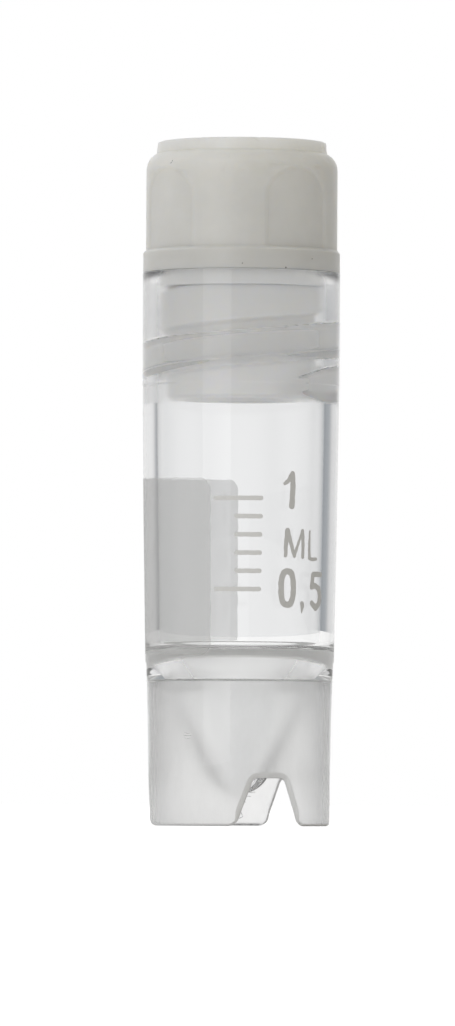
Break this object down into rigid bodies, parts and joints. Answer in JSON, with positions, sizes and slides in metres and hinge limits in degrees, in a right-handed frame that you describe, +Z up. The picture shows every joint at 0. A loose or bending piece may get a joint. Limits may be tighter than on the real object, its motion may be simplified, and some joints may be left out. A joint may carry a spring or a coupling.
{
  "type": "cryovial",
  "caption": "Self-standing cryogenic vial: clear tube with a conical floor inside a notched round skirt, an internal screw thread, and a white screw cap with a silicone seal ring.",
  "frame": {"origin": "on the tube's axis, in the plane that the skirt stands on", "axes": "+Z up along the tube's axis, -Y at the front, where the graduation marks are printed"},
  "size_m": [0.0124, 0.0124, 0.0432],
  "materials": {
    "tube": "clear gloss",
    "cap": "satin",
    "seal_ring": "satin"
  },
  "bodies": {
    "tube": {"tube": "tube"},
    "seal": {"seal_ring": "seal_ring"},
    "cap": {"cap": "cap"}
  },
  "joints": [
    {"name": "cap_lift", "type": "slide", "parent": "tube", "child": "seal", "axis": [0, 0, 1], "range_m": [0, 0.0084]},
    {"name": "cap_turn", "type": "hinge", "parent": "seal", "child": "cap", "pos_m": [0, 0, 0.0349], "axis": [0, 0, 1], "range_deg": [0, 1081]}
  ],
  "couplings": [
    {"joint": "cap_turn", "follows": "cap_lift", "rad_per_m": 2244}
  ]
}
